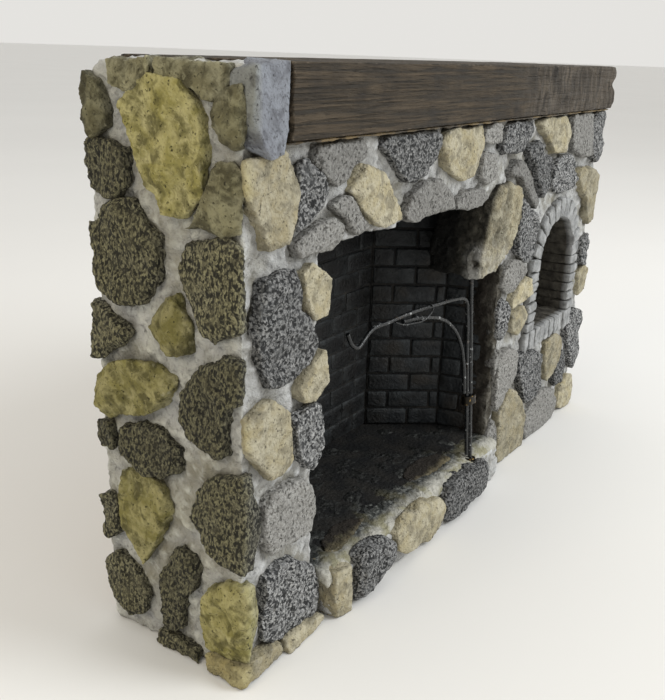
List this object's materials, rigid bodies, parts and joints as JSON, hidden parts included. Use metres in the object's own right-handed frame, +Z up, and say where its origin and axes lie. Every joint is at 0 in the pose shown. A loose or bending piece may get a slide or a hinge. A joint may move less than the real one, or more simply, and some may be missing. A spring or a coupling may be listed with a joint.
{
  "type": "miniature fireplace mantel",
  "caption": "Twelfth-scale stone fireplace surround with a timber mantel beam, raised hearth, arched wood niche, soot-black firebox and a swinging wire pot crane.",
  "frame": {"origin": "centre of the base, on the plane it stands on", "axes": "+X along the mantel beam to the right, +Y from the front into the wall, +Z up"},
  "size_m": [0.246, 0.0552, 0.151],
  "materials": {
    "dark_stone": "matt, speckled black on grey",
    "grey_stone": "matt, finely speckled",
    "cream_stone": "matt, mottled cream and ochre",
    "olive_stone": "matt, mottled olive and grey",
    "mortar": "matt, rough pointing",
    "core": "cast, unpainted",
    "back_board": "bare board",
    "soot_brick": "soot-black paint, low sheen",
    "hearth_floor": "sooty, rough",
    "niche_brick": "matt, pale grey",
    "niche_lining": "matt, dark warm grey",
    "beam_wood": "dark stain, low sheen",
    "iron": "black wire, satin",
    "brass": "dull brass"
  },
  "bodies": {
    "surround": {"hearth_core": "core", "left_pier_core": "core", "right_pier_core": "core", "lintel_core": "core", "back_board": "back_board", "firebox_floor": "hearth_floor", "firebox_left_cheek": "soot_brick", "firebox_right_cheek": "soot_brick", "fireback": "soot_brick", "firebox_ceiling": "soot_brick", "niche_lining": "niche_lining", "front_mortar": "mortar", "left_mortar": "mortar", "right_mortar": "mortar", "hearth_mortar": "mortar", "niche_brick_arch": "niche_brick", "front_stone_beam_end": "grey_stone", "front_stone_upper_corner": "cream_stone", "front_stone_under_beam": "grey_stone", "front_stone_slanted": "cream_stone", "front_stone_lintel_dark": "dark_stone", "front_stone_lintel_cream": "cream_stone", "front_stone_lintel_speckled": "dark_stone", "front_stone_band": "grey_stone", "front_stone_right_cream": "cream_stone", "front_stone_right_speckled": "dark_stone", "front_stone_right_grey": "grey_stone", "front_stone_right_shoulder": "cream_stone", "front_stone_left_large": "dark_stone", "front_stone_left_cream": "cream_stone", "front_stone_left_grey": "grey_stone", "side_stone_top_back": "olive_stone", "side_stone_upper_back": "dark_stone", "side_stone_large_dark": "dark_stone", "side_stone_large_yellow": "cream_stone", "side_stone_folded": "olive_stone", "side_stone_top_front": "olive_stone", "side_stone_front_dark": "dark_stone", "side_stone_middle_yellow": "cream_stone", "side_stone_back_dark": "dark_stone", "side_stone_back_yellow": "cream_stone", "side_stone_low_dark": "dark_stone", "side_stone_front_brown": "dark_stone", "side_stone_lower_yellow": "cream_stone", "side_stone_foot_back": "dark_stone", "side_stone_foot_middle": "dark_stone", "corner_stone_upper": "dark_stone", "corner_stone_lower": "cream_stone", "corner_stone_foot": "cream_stone", "hearth_stone_left": "dark_stone", "hearth_stone_middle": "cream_stone", "hearth_stone_crane_foot": "dark_stone", "corbel_stone": "cream_stone", "mantel_beam": "beam_wood", "crane_foot_ring": "brass"},
    "crane": {"crane_pivot_rod": "iron", "crane_arm": "iron", "crane_brace": "iron", "crane_tie_wire": "iron", "crane_clip": "brass"}
  },
  "joints": [
    {"name": "crane_swing", "type": "hinge", "parent": "surround", "child": "crane", "pos_m": [0.0055, -0.0261, 0.0144], "axis": [0.0194, 0.0897, 0.9958], "range_deg": [-24, 150]}
  ]
}
